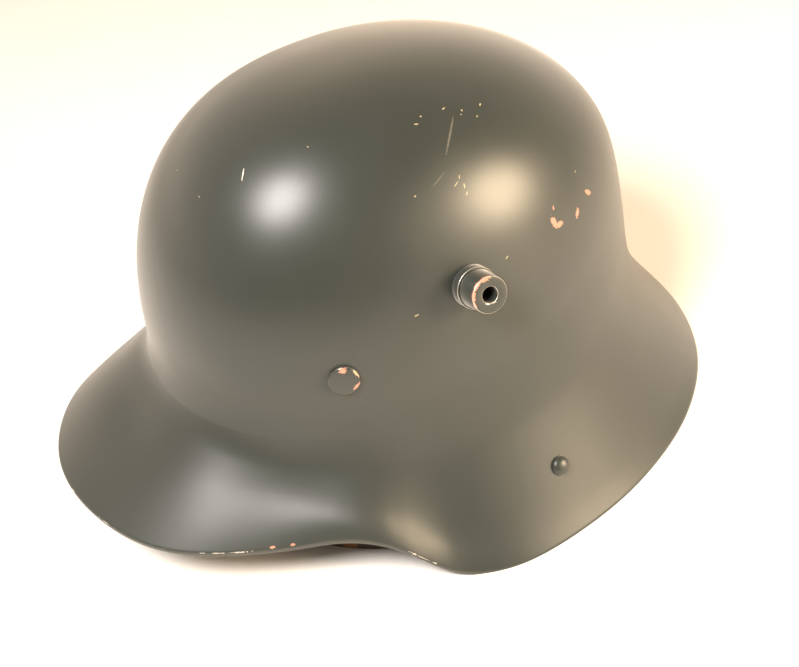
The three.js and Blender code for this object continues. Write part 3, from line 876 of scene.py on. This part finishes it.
floor_bm = bmesh.new()
bmesh.ops.create_grid(floor_bm, x_segments=FLOOR_CELLS, y_segments=FLOOR_CELLS, size=FLOOR_HALF)
floor_mesh = bpy.data.meshes.new("floor")
floor_bm.to_mesh(floor_mesh)
floor_bm.free()
floor_mesh.materials.append(white_paper())
floor = bpy.data.objects.new("floor", floor_mesh)
bpy.context.collection.objects.link(floor)
print("floor, metres across:", 2 * FLOOR_HALF)

# %% [markdown]
# ## The lamps
# A cool lamp stands high to the left and a warm one low to the right; each leaves its own highlight
# on the dome. A broad, weak third one does what a warm wall beside the table would: it spreads the
# warm light over the neck guard. Round lamps are used because a square one would show its corners
# in the satin paint.

# %% Three round lamps, in degrees and millimetres
LAMP_COLUMNS = ("name", "turn", "lift", "distance", "across", "watts", "colour")
LAMPS = [dict(zip(LAMP_COLUMNS, row)) for row in (
    ("cool_lamp", 32.5, 51.5, 985, 380, 17, "#fffaf6"),
    ("warm_lamp", 132, 19, 1080, 420, 18, "#ffe3bd"),
    ("warm_wall", 120, 16, 1200, 1000, 4.5, "#fff0dc"),
)]
LAMP_AIM_HEIGHT = 80
LAMP_AIM = (CROWN_AXIS + Vector((0, 0, LAMP_AIM_HEIGHT))) * MM
for lamp in LAMPS:
    light = bpy.data.lights.new(lamp["name"], "AREA")
    light.shape, light.size = "DISK", lamp["across"] * MM
    light.energy, light.color = lamp["watts"], linear(lamp["colour"])[:3]
    toward = direction(lamp["turn"], lamp["lift"])
    holder = bpy.data.objects.new(lamp["name"], light)
    holder.location = LAMP_AIM + toward * lamp["distance"] * MM
    holder.rotation_mode = "QUATERNION"
    holder.rotation_quaternion = toward.to_track_quat("Z", "Y")
    bpy.context.collection.objects.link(holder)
print("lamps:", [lamp["name"] for lamp in LAMPS])

# %% [markdown]
# ## The room
# Behind the helmet the room is bright, and on the camera's side it is dark. A photograph of a room
# could surround the scene, but a bright half that fades into a dark half gives the same: the enamel
# turns pale where it is seen at a glancing angle, and stays dark where it faces the camera.

# %% A surround with a bright and a dark half
SURROUND_TURN = -85  # the turn where it is brightest
SURROUND_DARK, SURROUND_BRIGHT = 0.08, 1.9
FACING_DARK, FACING_BRIGHT = -0.3, 0.7  # the fade from one half to the other, as cosines from that turn
SURROUND_TOP, TOP_FROM = 0.25, 0.2  # share of the light left overhead, and where it starts to fall
SURROUND_COLOUR = linear("#ffead3")
world = bpy.data.worlds.new("pale_backdrop_dark_room")
world.use_nodes = True
sky = world.node_tree
outward = sky.nodes.new("ShaderNodeTexCoord").outputs["Generated"]
facing = add(sky, "ShaderNodeVectorMath", {0: outward, 1: direction(SURROUND_TURN, 0)},
             operation="DOT_PRODUCT").node.outputs["Value"]
level = add(sky, "ShaderNodeMapRange", {"Value": facing,
                                        "From Min": FACING_DARK, "From Max": FACING_BRIGHT,
                                        "To Min": SURROUND_DARK, "To Max": SURROUND_BRIGHT})
upward = add(sky, "ShaderNodeSeparateXYZ", {"Vector": outward}).node.outputs["Z"]
fade = add(sky, "ShaderNodeMapRange", {"Value": upward, "From Min": TOP_FROM,
                                       "To Min": 1, "To Max": SURROUND_TOP})
strength = add(sky, "ShaderNodeMath", {0: level, 1: fade}, operation="MULTIPLY")
surround = sky.nodes["Background"]
surround.inputs["Color"].default_value = SURROUND_COLOUR
sky.links.new(strength, surround.inputs["Strength"])
bpy.context.scene.world = world
bpy.context.scene.view_settings.view_transform = "Standard"
print("surround, dark to bright:", SURROUND_DARK, SURROUND_BRIGHT)
